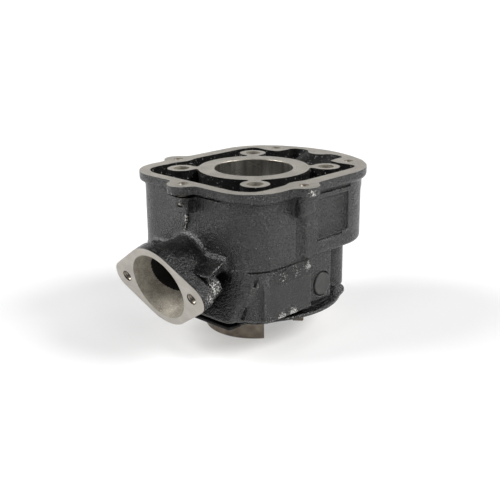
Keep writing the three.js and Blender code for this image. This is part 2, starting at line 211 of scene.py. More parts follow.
def rim_outline():
    front_x = HALF_WIDTH - FRONT_CORNER_R
    front_y = FRONT_Y + FRONT_CORNER_R
    rear_x = HALF_WIDTH - REAR_CORNER_R
    reach = REAR_Y - REAR_CORNER_Y - REAR_CORNER_R
    drop = (rear_x**2 - reach**2) / (2 * reach)
    turn = math.atan2(drop, rear_x)
    quarter = math.pi / 2
    right = arc(front_x, front_y, FRONT_CORNER_R, -quarter, 0, 40)
    right += arc(rear_x, REAR_CORNER_Y, REAR_CORNER_R, 0, turn, 40)
    rear = arc(0, REAR_CORNER_Y - drop, REAR_Y - REAR_CORNER_Y + drop, turn, math.pi - turn, 60)
    return right + rear[1:-1] + [(-x, y) for x, y in reversed(right)]


# ---------- the exhaust's own axes: u across the ears, v up the face, t behind the face ----------
COS_T, SIN_T = math.cos(FLANGE_TILT), math.sin(FLANGE_TILT)
U = X
V = -(Y - FLANGE_Y) * SIN_T + (Z - FLANGE_Z) * COS_T
T = (Y - FLANGE_Y) * COS_T + (Z - FLANGE_Z) * SIN_T


def lerp_clip(t, t0, t1, a, b):
    return a + (b - a) * np.clip((t - t0) / (t1 - t0), 0, 1)


def duct_field():
    """The exhaust duct: a round mouth that narrows to a flattened port."""
    width = lerp_clip(T, 0, DUCT_TAPER_LENGTH, MOUTH_R, THROAT_R)
    height = lerp_clip(T, 0, DUCT_TAPER_LENGTH, MOUTH_R, THROAT_HALF_HEIGHT)
    scale = np.minimum(width, height)
    return np.maximum((np.hypot(U / width, V / height) - 1) * scale, Y)


def oval_flange_field():
    """The flange's outline in its own plane: a round middle drawn out to two ears."""
    u = np.abs(U)
    ears = np.hypot(u - EAR_X, V) - EAR_R
    middle = np.hypot(u, V) - FLANGE_R
    cos_a = (FLANGE_R - EAR_R) / EAR_X
    sin_a = math.sqrt(1 - cos_a**2)
    v = np.abs(V)
    edge = u * cos_a + v * sin_a - FLANGE_R
    along = u * sin_a - v * cos_a
    between = (along > 0) & (along < EAR_X * sin_a)
    return np.where(between, edge, np.minimum(ears, middle))


def deck_and_jacket(rim):
    """The rim plate with its lugs, the jacket wall below it and the lug columns."""
    plate = rim
    for x, y in [(0.0, FRONT_LUG_Y), *SIDE_LUGS]:
        plate = smin(plate, circle(x, y, LUG_R), 3.6)
    solid = smax(plate, slab(RIM_Z, 10), 1.2)
    bevel = np.maximum(rim - 1.2 * (Z - RIM_Z) + 0.4, slab(RIM_Z - 2.4, RIM_Z + 0.4))
    solid = smin(solid, np.maximum(bevel, np.maximum(24 - np.abs(X), -Y - 42)), 0.3)
    jacket = smax(rim + WALL_INSET, slab(JACKET_Z, 10), 2.2)
    solid = smin(solid, jacket, 0.7)
    front = smax(rounded_box(0, -46.0, 4.5, 4.2, 1.0), slab(-13.8, 10), 0.8)
    taper = smax(rounded_box(-1.4, -46.0, 5.9, 5.0, 2.5) - 0.45 * (Z + 9.0), slab(-11.0, -5.4), 0.5)
    solid = smin(solid, smin(front, taper, 0.6), 0.8)
    for x, y in SIDE_LUGS:
        column = smax(rounded_box(x * 0.97, y, 5.4, 5.4, 3.0), slab(LUG_COLUMN_Z, 10), 2.6)
        solid = smin(solid, column, 0.9)
    for x, y in REAR_LUGS:
        column = smax(circle(x, y, 7.0), slab(LUG_COLUMN_Z, 10), 2.4)
        solid = smin(solid, column, 1.6)
    return solid


def lower_body(rim):
    """Front corners, transfer blocks, pads, boost housing and rear stud columns."""
    bulge = 0.25 - lerp_clip(-Z, 39.0, 45.0, 0.0, 1.65) * lerp_clip(X, 32.0, 38.0, 0.0, 1.0)
    corner = np.maximum(rim + WALL_INSET + bulge, Y + 6.0)
    block_x = lerp_clip(-Z, 38.6, 42.0, HALF_WIDTH - WALL_INSET - 0.1, BLOCK_X)
    block_x = block_x + 1.3 * np.clip((-Z - 59.0) / 3.6, 0, 1) ** 2
    block_front = np.where(X > 0, np.float32(BLOCK_FRONT_Y), np.float32(LEFT_BLOCK_FRONT_Y))
    block = smax(np.abs(X) - block_x, np.maximum(block_front - Y, Y + 4.9), 0.8)
    block = smax(block, rim + WALL_INSET - lerp_clip(-Z, 39.5, 50.0, 0.1, 5.0), 0.8)
    pad = rounded_box(0, 3.0, PAD_X, 9.6, 1.0)
    lower = smin(smin(corner, block, 0.5), pad, 0.4)
    lower = smin(lower, circle(0, 0, LINER_R + 4.5), 2.0)
    for x, y in STUDS:
        if y > 0:
            lower = smin(lower, circle(x, y, COLUMN_R), 3.0)
    lower = smin(lower, rounded_box(0, 28.0, 13.5, 8.0, 3.0), 2.5)
    lower = smax(lower, slab(UNDERCUT_TOP_Z, JACKET_Z + 4), 0.9)
    # The front wall leans out towards the toe of the base flange.
    lean = 5.3 * np.clip((-Z - 41.0) / 21.0, 0, 1) ** 1.3
    width = lerp_clip(-Z, 44.0, 62.0, 37.5, 32.5)
    boot = smax(rim + WALL_INSET - lean, np.abs(X) - width, 2.6)
    boot = smax(np.maximum(boot, Y + 36), slab(UNDERCUT_TOP_Z, JACKET_Z), 0.9)
    return smin(lower, boot, 2.6)


def base_flange():
    """A thin lip on the base face, under a groove below the walls above."""
    outline = circle(0, 0, BASE_R)
    for x, y in STUDS:
        outline = smin(outline, circle(x, y, BASE_CORNER_R), 3.0)
    toe = rounded_box(0, -38.0, BOOT_HALF_WIDTH, -TOE_RECESS_Y - 38.0, 1.5)
    outline = smin(outline, toe, 1.0)
    lip = smax(outline, slab(BASE_Z - 5, LIP_TOP_Z), 0.5)
    core = smax(outline + 5.2, slab(BASE_Z - 5, BASE_TOP_Z + 1.5), 0.6)
    return smin(lip, core, 0.6)


def exhaust_outside(solid):
    """Adds the neck, the oval flange and the blocks and bosses behind its ears."""
    tube_r = lerp_clip(T, 5, 22, FLANGE_R - 1.8, NECK_R)
    exhaust = smax(np.hypot(U, V) - tube_r, np.maximum(2.0 - T, T - 44.0), 1.0)
    u = np.abs(U)
    outer = lerp_clip(T, 6, 24, 28.6, 25.2)
    under = lerp_clip(T, 9, 15, 1.0, 4.2)
    gusset = smax(u - outer, V - 7.6, 0.6)
    gusset = np.maximum(gusset, np.maximum(12.0 - u, under - V))
    gusset = smax(gusset, np.maximum(8.6 - T, T - 30.0), 0.8)
    exhaust = smin(exhaust, gusset, 0.8)
    solid = smin(solid, exhaust, 3.0)
    ear_flange = smax(oval_flange_field(), np.maximum(-3.0 - T, T - FLANGE_THICKNESS), 0.7)
    boss = smax(np.hypot(u - EAR_X, V) - EAR_BOSS_R, np.maximum(8.2 - T, T - 14.5), 1.6)
    core = np.maximum(np.hypot(u - EAR_X, V) - 5.0, np.maximum(2.0 - T, T - 14.0))
    return smin(smin(solid, ear_flange, 0.8), smin(boss, core, 0.6), 0.7)


def pocket_field(rim):
    """The water jacket's hollow, open at the deck."""
    islands = circle(0, 0, BARREL_R)
    for x, y in STUDS:
        islands = smin(islands, circle(x, y, BOSS_R), 1.0)
        length = math.hypot(x, y)
        across = np.abs(X * (y / length) - Y * (x / length))
        along = X * (x / length) + Y * (y / length)
        web = np.maximum(across - WEB_HALF_WIDTH, np.maximum(-along, along - length))
        islands = smin(islands, web, 2.0)
    pocket = smax(rim + POCKET_INSET, np.abs(X) - POCKET_HALF_WIDTH, 2.5)
    shoulder = smax(POCKET_LOBE_HALF_WIDTH - np.abs(X), POCKET_SHOULDER_Y - Y, 2.0)
    pocket = smax(pocket, -shoulder, 3.0)
    for x, y in REAR_LUGS:
        pocket = smax(pocket, -circle(x, y, 7.3), 2.5)
    upper = pocket
    for x, y in SIDE_LUGS:
        upper = smax(upper, -circle(math.copysign(43.6, x), y, 7.0), 3.0)
    depth = smax(np.where(Z > LUG_COLUMN_Z, upper, pocket), slab(FLOOR_TOP_Z, 10), 5.0)
    hollow = smax(depth, -islands, 1.2)
    tube = np.hypot(U / 1.25, V) - 12.6
    return smax(hollow, -smax(tube, -Y - 60, 1.0), 2.5)


def holes_field(duct):
    """Everything bored or cored right through: liner seat, duct, passages, screw holes."""
    holes = np.minimum(duct, np.maximum(circle(0, 0, LINER_R), slab(-90, 10)))
    for sign in (1, -1):
        roof = PASSAGE_ROOF_Z - (sign * X - 31.0) * 0.9
        across = np.maximum(PASSAGE_X0 - sign * X, sign * X - PASSAGE_X1)
        along = np.maximum(PASSAGE_Y0 - Y, Y - PASSAGE_Y1)
        holes = np.minimum(holes, smax(np.maximum(across, Z - roof), along, 2.0))
        plug_seat = np.hypot(Y - PLUG_Y, Z - PLUG_Z) - PLUG_SEAT_R
        holes = np.minimum(holes, np.maximum(plug_seat, PAD_X - 1.6 - sign * X))
    roof = PASSAGE_ROOF_Z - (Y - 30.0) * 0.9
    across = np.maximum(BOOST_Y0 - Y, Y - BOOST_Y1)
    holes = np.minimum(holes, np.maximum(across, np.maximum(np.abs(X) - 7.0, Z - roof)))
    for x, y in STUDS:
        holes = np.minimum(holes, circle(x, y, STUD_HOLE_R))
    for x, y in LUG_HOLES:
        screw = np.maximum(circle(x, y, COVER_HOLE_R), slab(-COVER_HOLE_DEPTH, 10))
        holes = np.minimum(holes, screw)
    ear = np.hypot(np.abs(U) - EAR_X, V) - EAR_HOLE_R
    return np.minimum(holes, np.maximum(ear, T - EAR_HOLE_DEPTH))


def carve_details(solid, rim):
    """Small channels, grooves and the plain framed panels on the jacket's sides."""
    wall = rim + WALL_INSET
    front_groove = np.maximum(np.abs(Z - RIM_Z + 0.7) - 0.7, -wall - 0.9)
    front_groove = np.maximum(front_groove, np.maximum(np.maximum(X - 22.0, -9.0 - X), Y + 40))
    solid = smax(solid, -front_groove, 0.4)
    seam = np.maximum(np.abs(Z - JACKET_Z) - 0.4, -wall - 1.0)
    seam = np.maximum(seam, np.maximum(36.0 - X, Y + 5.0))
    solid = smax(solid, -seam, 0.3)
    edge_x = 39.6 + (Z + 40.0) * 0.276
    edge_y = -38.9 - (Z + 40.0) * -0.205
    edge = np.maximum(np.hypot(X - edge_x, Y - edge_y) - 0.7, slab(-61.0, -39.5))
    solid = smax(solid, -edge, 0.5)
    for sign in (1, -1):
        channel = smax(np.abs(Y + 11.6) - 2.9, 41.5 - sign * X, 1.4)
        channel = smax(channel, slab(-37.0, -14.0), 0.8)
        solid = smax(solid, -channel, 1.6)
        panel = np.maximum(np.maximum(PANEL_Y0 - Y, Y - PANEL_Y1), slab(PANEL_Z0, PANEL_Z1))
        solid = smax(solid, -np.maximum(panel, PANEL_X - sign * X), 0.2)
        ledge = np.maximum(np.maximum(-6.0 - Y, Y - 25.0), np.abs(Z + 6.8) - 0.35)
        solid = smax(solid, -np.maximum(ledge, 41.8 - sign * X), 0.2)
        rule = np.maximum(np.maximum(0.0 - Y, Y - 19.5), np.abs(Z + 30.2) - 0.45)
        solid = smax(solid, -np.maximum(rule, 41.7 - sign * X), 0.2)
    return solid


def casting_field():
    rim = polygon_field(rim_outline())
    solid = deck_and_jacket(rim)
    solid = smin(solid, lower_body(rim), 0.7)
    solid = smin(solid, base_flange(), 0.5)
    solid = exhaust_outside(solid)
    solid = carve_details(solid, rim)
    pocket = pocket_field(rim)
    solid = smax(solid, -pocket, 0.6)
    duct = duct_field()
    solid = np.maximum(solid, -holes_field(duct))
    border = 2 * STEP
    for side in (0, -1):
        solid[side] = solid[:, side] = solid[:, :, side] = border
    return {"solid": solid, "duct": duct, "pocket": pocket}


# ---------- from field to mesh ----------
REACH = 1.0  # how far, in millimetres, the bend of the skin is felt for


def field_at(field, points):
    """The field and its gradient at points, by trilinear interpolation."""
    p = (points - GRID_LOW) / STEP
    low = np.clip(np.floor(p).astype(int), 0, COUNTS - 2)
    f = p - low
    corner = {}
    for dx in (0, 1):
        for dy in (0, 1):
            for dz in (0, 1):
                corner[dx, dy, dz] = field[low[:, 0] + dx, low[:, 1] + dy, low[:, 2] + dz].astype(float)
    fx, fy, fz = f.T

    def mix(a, b, w):
        return a + (b - a) * w

    c00, c10 = mix(corner[0, 0, 0], corner[1, 0, 0], fx), mix(corner[0, 1, 0], corner[1, 1, 0], fx)
    c01, c11 = mix(corner[0, 0, 1], corner[1, 0, 1], fx), mix(corner[0, 1, 1], corner[1, 1, 1], fx)
    value = mix(mix(c00, c10, fy), mix(c01, c11, fy), fz)
    gx = mix(
        mix(corner[1, 0, 0] - corner[0, 0, 0], corner[1, 1, 0] - corner[0, 1, 0], fy),
        mix(corner[1, 0, 1] - corner[0, 0, 1], corner[1, 1, 1] - corner[0, 1, 1], fy),
        fz,
    )
    gy = mix(c10 - c00, c11 - c01, fz)
    gz = mix(c01, c11, fy) - mix(c00, c10, fy)
    return value, np.stack([gx, gy, gz], 1) / STEP


def mesh_from_field(name, field):
    grid = openvdb.FloatGrid(3 * STEP)
    grid.copyFromArray(np.clip(field, -3 * STEP, 3 * STEP))
    points, quads = grid.convertToQuads(0.0)
    points = points.astype(float) * STEP + GRID_LOW
    # Settle the points onto the skin.
    for _ in range(3):
        value, slope = field_at(field, points)
        size = np.maximum((slope**2).sum(1), 0.2)
        move = np.clip(value / size, -0.3 * STEP, 0.3 * STEP)
        points -= slope * move[:, None]
    grain = np.random.default_rng(3).normal(0, GRAIN, len(points))
    points += slope * grain[:, None]
    mesh = bpy.data.meshes.new(name)
    mesh.from_pydata(points.tolist(), [], quads[:, ::-1].tolist())
    # The field's Laplacian tells arrises from hollows.
    curve = -6 * field_at(field, points)[0]
    for axis in range(3):
        for way in (-REACH, REACH):
            offset = np.zeros(3)
            offset[axis] = way
            curve += field_at(field, points + offset)[0]
    for label, sign in (("arris", 1), ("hollow", -1)):
        values = np.clip(sign * curve / REACH, 0, 1).astype(np.float32)
        mesh.attributes.new(label, "FLOAT", "POINT").data.foreach_set("value", values)
    return mesh


def placed(mesh):
    """Moves a mesh from millimetres about the bore axis to the row frame."""
    mesh.transform(Matrix.Translation(AXIS) @ Matrix.Scale(MM, 4))
    return mesh


def cut_flat(bm, point, normal, wanted):
    """Presses what lies beyond a plane, where wanted(centre) is true, flat onto the plane.

    The walls there stand square to the plane, so this leaves the same shape as a cut.
    """
    faces = [f for f in bm.faces if wanted(f.calc_center_median())]
    edges = {e for f in faces for e in f.edges}
    verts = {v for f in faces for v in f.verts}
    whole = [*verts, *edges, *faces]
    made = bmesh.ops.bisect_plane(bm, geom=whole, dist=1e-3, plane_co=point, plane_no=normal)
    on_cut = {v for v in made["geom_cut"] if isinstance(v, bmesh.types.BMVert)}
    verts = {v for v in verts if v.is_valid} | on_cut
    pressed = []
    for v in verts:
        height = (v.co - point).dot(normal)
        if height > -2e-3:
            v.co -= height * normal
            pressed.append(v)
    bmesh.ops.remove_doubles(bm, verts=pressed, dist=0.06)
    on_plane = {v for v in pressed if v.is_valid}
    return [f for f in {f for v in on_plane for f in v.link_faces} if all(v in on_plane for v in f.verts)]


# The last slot is painted shade: a black, dull finish for faces deep in the duct, low in the holes and in the
# undercut, where shade falls.
COATED, MACHINED, FLANGE_FACE, DUCT, POCKET, PAINTED_SHADE = range(6)


def make_casting(materials):
    """The casting's mesh, with a material for each kind of surface, and a black one painted where shade
    falls.
    """
    fields = casting_field()
    mesh = mesh_from_field("casting", fields["solid"])
    bm = bmesh.new()
    bm.from_mesh(mesh)
    if bm.calc_volume(signed=True) < 0:
        bmesh.ops.reverse_faces(bm, faces=bm.faces)
    for f in bm.faces:
        f.smooth = True
    centres = np.array([f.calc_center_median() for f in bm.faces])
    in_duct = field_at(fields["duct"], centres)[0] < 0.5
    in_pocket = field_at(fields["pocket"], centres)[0] < 0.6
    depth = (centres[:, 1] - FLANGE_Y) * COS_T + (centres[:, 2] - FLANGE_Z) * SIN_T
    # Beyond the bare mouth the duct is coated, and is painted darker still as the shade inside it.
    deep = in_duct & (depth > BARE_MOUTH + 0.42 * (15.5 - np.abs(centres[:, 0])))
    x, y, z = np.abs(centres[:, 0]), centres[:, 1], centres[:, 2]
    # Painted shade: the undercut above the base flange, under the toe and round the sides, is painted black.
    undercut = z < UNDERCUT_TOP_Z - 0.2
    deep |= undercut & (y > -53.0) & (y < -40.0) & (x < BOOT_HALF_WIDTH + 0.5)
    outside = (np.hypot(x, y) > LINER_R + 3) & (y > -40.0) & (y < 17)
    deep |= undercut & outside & (z > LIP_TOP_Z + 0.3)
    # Drilled holes are bare at the top and painted black below as shade.
    drilled = [(hole, STUD_HOLE_R, -70) for hole in STUDS]
    drilled += [(hole, COVER_HOLE_R, -COVER_HOLE_DEPTH - 0.3) for hole in LUG_HOLES]
    for (hole_x, hole_y), radius, low in drilled:
        inside = (np.hypot(centres[:, 0] - hole_x, y - hole_y) < radius + 0.3) & (z > low)
        in_duct |= inside
        deep |= inside & (z < -0.55 * radius)
    bm.faces.ensure_lookup_table()
    for f, duct, pocket, in_painted_shade in zip(bm.faces, in_duct, in_pocket, deep):
        f.material_index = PAINTED_SHADE if in_painted_shade else DUCT if duct else POCKET if pocket else COATED
    normal = Vector((0, -COS_T, -SIN_T))
    flange_point = Vector((0, FLANGE_Y, FLANGE_Z))
    cuts = [
        (MACHINED, Vector((0, 0, 0)), Vector((0, 0, 1)), lambda c: c.z > -1.5),
        (MACHINED, Vector((0, 0, BASE_Z)), Vector((0, 0, -1)), lambda c: c.z < BASE_Z + 1.5 and c.y > -55),
        (FLANGE_FACE, flange_point, normal, lambda c: (c - flange_point).dot(normal) > -1.5),
    ]
    for slot, point, direction, wanted in cuts:
        for f in cut_flat(bm, point, direction, wanted):
            f.material_index = slot
            f.smooth = False
    for e in bm.edges:
        if len(e.link_faces) == 2 and e.link_faces[0].smooth != e.link_faces[1].smooth:
            e.smooth = False
    bm.to_mesh(mesh)
    bm.free()
    mesh.validate()
    for material in materials:
        mesh.materials.append(material)
    return shown("casting", placed(mesh))


# ---------- materials ----------
class Finish:
    """A material under construction: its Principled shader and a few shorthands."""

    def __init__(self, name, color, roughness, metallic=0.0):
        self.material = bpy.data.materials.new(name)
        self.material.use_nodes = True
        self.tree = self.material.node_tree
        self.shader = self.tree.nodes["Principled BSDF"]
        self.set("Base Color", (*color, 1))
        self.set("Roughness", roughness)
        self.set("Metallic", metallic)
        self.place = self.node("ShaderNodeTexCoord").outputs["Object"]

    def node(self, kind, **settings):
        node = self.tree.nodes.new(kind)
        for name, value in settings.items():
            setattr(node, name, value)
        return node

    def feed(self, socket, value):
        if isinstance(value, bpy.types.NodeSocket):
            self.tree.links.new(value, socket)
        else:
            socket.default_value = value

    def set(self, name, value):
        self.feed(self.shader.inputs[name], value)

    def stretched(self, scale):
        mapping = self.node("ShaderNodeMapping")
        self.feed(mapping.inputs["Vector"], self.place)
        mapping.inputs["Scale"].default_value = scale
        return mapping.outputs["Vector"]

    def noise(self, size, detail=2.0, stretch=None):
        """Noise with features of about this size in millimetres."""
        noise = self.node("ShaderNodeTexNoise")
        self.feed(noise.inputs["Vector"], self.stretched(stretch) if stretch else self.place)
        noise.inputs["Scale"].default_value = 1 / (size * MM)
        noise.inputs["Detail"].default_value = detail
        return noise.outputs["Fac"]

    def hatch(self, lean):
        """Fine lines round the bore, leaning up one way or the other."""
        split = self.node("ShaderNodeSeparateXYZ")
        self.feed(split.inputs[0], self.place)
        x = split.outputs["X"]
        y = self.math("SUBTRACT", split.outputs["Y"], AXIS.y)
        angle = self.math("ARCTAN2", y, x)
        around = self.math("MULTIPLY", angle, BORE_R * MM)
        rise = self.math("ADD", self.math("MULTIPLY", around, 0.5 * lean), split.outputs["Z"])
        run = self.math("SUBTRACT", around, self.math("MULTIPLY", split.outputs["Z"], 0.5 * lean))
        place = self.node("ShaderNodeCombineXYZ")
        self.feed(place.inputs["X"], self.math("MULTIPLY", run, 0.03))
        self.feed(place.inputs["Y"], rise)
        lines = self.node("ShaderNodeTexNoise")
        self.feed(lines.inputs["Vector"], place.outputs[0])
        lines.inputs["Scale"].default_value = 1 / (0.35 * MM)
        lines.inputs["Detail"].default_value = 3
        return lines.outputs["Fac"]

    def bend(self, label):
        """How sharply the skin bends outwards ("arris") or inwards ("hollow"), 0 to 1."""
        return self.node("ShaderNodeAttribute", attribute_name=label).outputs["Fac"]

    def near(self, spots):
        """1 at the middle of any of these spots, falling to 0 at their radius."""
        total = None
        for x, y, z, radius in spots:
            away = self.node("ShaderNodeVectorMath", operation="DISTANCE")
            self.feed(away.inputs[0], self.place)
            away.inputs[1].default_value = AXIS + Vector((x, y, z)) * MM
            near = self.ramp(away.outputs["Value"], (0.0, 1.0), (radius * MM, 0.0))
            total = near if total is None else self.math("MAXIMUM", total, near)
        return total

    def rings(self, size):
        """Noise that changes only with the distance from the bore axis."""
        split = self.node("ShaderNodeSeparateXYZ")
        self.feed(split.inputs[0], self.place)
        x = split.outputs["X"]
        y = self.math("SUBTRACT", split.outputs["Y"], AXIS.y)
        radius = self.math("SQRT", self.math("ADD", self.math("MULTIPLY", x, x), self.math("MULTIPLY", y, y)))
        lines = self.node("ShaderNodeTexNoise", noise_dimensions="1D")
        self.feed(lines.inputs["W"], radius)
        lines.inputs["Scale"].default_value = 1 / (size * MM)
        lines.inputs["Detail"].default_value = 2
        return lines.outputs["Fac"]

    def ramp(self, factor, *stops):
        """Turns a factor into a number (two stops) or a colour (two stops or more)."""
        if not isinstance(stops[0][1], tuple):
            ramp = self.node("ShaderNodeMapRange")
            (x0, y0), (x1, y1) = stops
            limits = {"Value": factor, "From Min": x0, "From Max": x1, "To Min": y0, "To Max": y1}
            for name, value in limits.items():
                self.feed(ramp.inputs[name], value)
            return ramp.outputs["Result"]
        ramp = self.node("ShaderNodeValToRGB")
        self.feed(ramp.inputs["Fac"], factor)
        elements = ramp.color_ramp.elements
        while len(elements) < len(stops):
            elements.new(0.5)
        for element, (at, color) in zip(elements, stops):
            element.position = at
            element.color = (*color, 1)
        return ramp.outputs["Color"]

    def math(self, operation, a, b=0.0):
        node = self.node("ShaderNodeMath", operation=operation)
        self.feed(node.inputs[0], a)
        self.feed(node.inputs[1], b)
        return node.outputs[0]

    def blend(self, factor, a, b):
        mix = self.node("ShaderNodeMix", data_type="RGBA")
        self.feed(mix.inputs["Factor"], factor)
        self.feed(mix.inputs[6], a)
        self.feed(mix.inputs[7], b)
        return mix.outputs[2]

    def bump(self, height, depth, strength=1.0):
        """Raises the surface by height times depth, in millimetres, over earlier bumps."""
        bump = self.node("ShaderNodeBump")
        bump.inputs["Distance"].default_value = depth * MM
        bump.inputs["Strength"].default_value = strength
        self.feed(bump.inputs["Height"], height)
        before = self.shader.inputs["Normal"]
        if before.is_linked:
            self.feed(bump.inputs["Normal"], before.links[0].from_socket)
        self.feed(before, bump.outputs["Normal"])


# Where the coat is chipped down to bright iron: x, y, z and radius, about the bore axis.
WORN_SPOTS = [
    (30.5, -61.5, -46.5, 4.5),
    (-30.5, -61.5, -46.5, 4.5),
    (28.5, -56.5, -43.5, 6.0),
    (-28.5, -56.5, -43.5, 6.0),
    (50.5, -14.0, -2.5, 4.0),
    (-50.5, -14.0, -2.5, 4.0),
    (30.5, -48.5, -66.0, 2.5),
    (-30.5, -48.5, -66.0, 2.5),
    (36.5, 31.5, -62.5, 2.2),
    (40.5, -34.0, -62.0, 4.0),
    (43.0, -27.0, -62.0, 4.0),
    (44.0, -19.0, -62.0, 4.0),
    (43.6, -7.0, -41.0, 2.5),
]
SANDED_SPOTS = [(44.0, -14.0, -50.0, 18.0), (44.0, -28.0, -52.0, 18.0)]
SMOOTH_SPOTS = [(0.0, -50.0, -35.0, 34.0), (22.0, -48.0, -38.0, 14.0), (-22.0, -48.0, -38.0, 14.0)]
GRAINY_SPOTS = [
    (43.5, -16.0, -41.0, 7.0),
    (43.5, -25.0, -42.0, 7.0),
    (43.5, -8.0, -41.0, 6.0),
    (43.5, -18.0, -61.5, 5.0),
    (42.5, -26.0, -61.5, 5.0),
    (40.5, -34.0, -61.5, 5.0),
]


def coated_iron():
    """Sand-cast iron under a thin black coat: a fine grain, chipped bright at a few corners, with arrises
    lightened partly as wear and partly as a painted highlight.
    """
    f = Finish("coated_iron", (0.007, 0.0068, 0.0065), 0.3)
    f.set("Specular IOR Level", 0.75)
    grain = f.noise(1.1, 2)
    fine = f.noise(0.55, 2)
    broad = f.noise(7.0, 3)
    chips = f.noise(0.8, 3)
    speck = f.ramp(f.noise(0.7, 2), (0.64, 0.0), (0.72, 1.0))
    tone = f.ramp(broad, (0.35, (0.0018, 0.0017, 0.0016)), (0.65, (0.0038, 0.0036, 0.0033)))
    tone = f.blend(speck, tone, (0.035, 0.034, 0.032, 1))
    # Arrises lightened and made more metallic: partly rubbed coat, partly a painted highlight for the glints
    # along rounded edges.
    edge = f.ramp(f.bend("arris"), (0.3, 0.0), (0.8, 1.0))
    tone = f.blend(f.math("MULTIPLY", edge, 0.6), tone, (0.03, 0.029, 0.027, 1))
    wear_and_glint = f.math("ADD", f.math("MULTIPLY", f.near(WORN_SPOTS), 0.34), f.math("MULTIPLY", edge, 0.06))
    wear_and_glint = f.math("ADD", wear_and_glint, f.math("MULTIPLY", f.near(GRAINY_SPOTS), 0.2))
    wear_and_glint = f.ramp(f.math("ADD", chips, wear_and_glint), (0.7, 0.0), (0.84, 1.0))
    hollow = f.ramp(f.bend("hollow"), (0.25, 0.0), (0.7, 1.0))
    f.set("Base Color", f.blend(wear_and_glint, tone, (0.6, 0.59, 0.56, 1)))
    f.set("Metallic", f.math("MULTIPLY", wear_and_glint, 0.8))
    smooth = f.near(SMOOTH_SPOTS)
    sanded = f.math("MULTIPLY", f.near(SANDED_SPOTS), 0.22)
    rough = f.math("ADD", f.ramp(f.noise(1.6, 3), (0.3, 0.17), (0.7, 0.3)), sanded)
    rough = f.math("ADD", rough, f.math("MULTIPLY", hollow, 0.1))
    rough = f.math("SUBTRACT", rough, f.math("MULTIPLY", smooth, 0.24))
    f.set("Roughness", f.math("MAXIMUM", rough, 0.1))
    height = f.math("ADD", f.math("MULTIPLY", f.near(GRAINY_SPOTS), 1.6), 0.8)
    height = f.math("SUBTRACT", height, f.math("MULTIPLY", smooth, 0.5))
    f.bump(broad, 0.45, 0.6)
    f.bump(f.math("MULTIPLY", grain, height), 0.8, 1.0)
    f.bump(f.math("MULTIPLY", fine, height), 0.4, 1.0)
    return f.material


def deck_finish():
    """The deck, turned about the bore: warm grey iron with fine concentric tool marks."""
    f = Finish("deck_iron", (0.5, 0.465, 0.4), 0.36, 1.0)
    rings = f.rings(0.22)
    stain = f.noise(8.0, 4)
    f.set("Base Color", f.ramp(stain, (0.3, (0.44, 0.405, 0.345)), (0.7, (0.6, 0.56, 0.48))))
    f.set("Roughness", f.ramp(rings, (0.3, 0.26), (0.7, 0.46)))
    f.bump(rings, 0.05, 1.0)
    f.bump(f.noise(0.6, 3), 0.02, 0.6)
    return f.material


def flange_finish():
    """The exhaust face: milled, paler and finer than the deck."""
    f = Finish("flange_iron", (0.56, 0.525, 0.465), 0.42, 0.9)
    lines = f.noise(0.4, 3, (0.06, 1.0, 1.0))
    f.set("Base Color", f.ramp(f.noise(7.0, 4), (0.3, (0.4, 0.375, 0.335)), (0.7, (0.49, 0.465, 0.425))))
    f.set("Roughness", f.ramp(lines, (0.3, 0.36), (0.7, 0.55)))
    f.bump(lines, 0.03, 0.8)
    return f.material


def duct_iron():
    """The duct's bare mouth, browner and grainier than the machined faces."""
    f = Finish("duct_iron", (0.3, 0.28, 0.235), 0.55, 0.6)
    tone = f.ramp(f.noise(4.0, 4), (0.3, (0.27, 0.245, 0.205)), (0.7, (0.46, 0.425, 0.36)))
    speck = f.ramp(f.noise(0.35, 1), (0.56, 0.0), (0.72, 1.0))
    f.set("Base Color", f.blend(speck, tone, (0.7, 0.66, 0.58, 1)))
    f.bump(f.noise(0.55, 4), 0.12, 1.0)
    return f.material


def painted_shade_finish():
    """Painted shade for the deep part of the duct, the holes and the undercut: black and dull."""
    f = Finish("painted_shade_iron", (0.004, 0.004, 0.004), 0.6)
    f.set("Specular IOR Level", 0.3)
    f.set("Base Color", f.ramp(f.noise(3.0, 3), (0.3, (0.002, 0.002, 0.002)), (0.7, (0.006, 0.0056, 0.0052))))
    f.bump(f.noise(0.7, 3), 0.2, 1.0)
    return f.material


def pocket_iron():
    """The water pocket: black core-cast skin with a few bright specks."""
    f = Finish("pocket_iron", (0.01, 0.01, 0.01), 0.5)
    f.set("Specular IOR Level", 0.3)
    speck = f.ramp(f.noise(1.0, 3), (0.64, 0.0), (0.7, 1.0))
    f.set("Base Color", f.blend(speck, (0.0025, 0.0025, 0.0025, 1), (0.4, 0.39, 0.37, 1)))
    f.bump(f.noise(0.9, 4), 0.4, 1.0)
    return f.material


def bore_finish():
    """Honed cast iron: a fine cross-hatch at a shallow angle."""
    f = Finish("bore_iron", (0.42, 0.41, 0.39), 0.3, 1.0)
    hatch = f.math("ADD", f.hatch(1.0), f.hatch(-1.0))
    f.set("Roughness", f.ramp(hatch, (0.6, 0.2), (1.4, 0.42)))
    streaks = f.noise(4.0, 3, (1.0, 1.0, 0.08))
    f.set("Base Color", f.ramp(streaks, (0.35, (0.3, 0.29, 0.27)), (0.65, (0.62, 0.605, 0.57))))
    f.bump(hatch, 0.05, 0.8)
    return f.material


def skirt_finish():
    """Bare turned iron below the base: brownish, with fine turning rings."""
    f = Finish("skirt_iron", (0.3, 0.27, 0.235), 0.42, 0.85)
    rings = f.noise(0.35, 3, (0.06, 0.06, 1.0))
    f.set("Base Color", f.ramp(f.noise(5.0, 4), (0.3, (0.13, 0.11, 0.09)), (0.7, (0.25, 0.215, 0.175))))
    f.set("Roughness", f.ramp(rings, (0.3, 0.34), (0.7, 0.55)))
    f.bump(rings, 0.04, 0.7)
    f.bump(f.noise(0.5, 3), 0.05, 0.5)
    return f.material


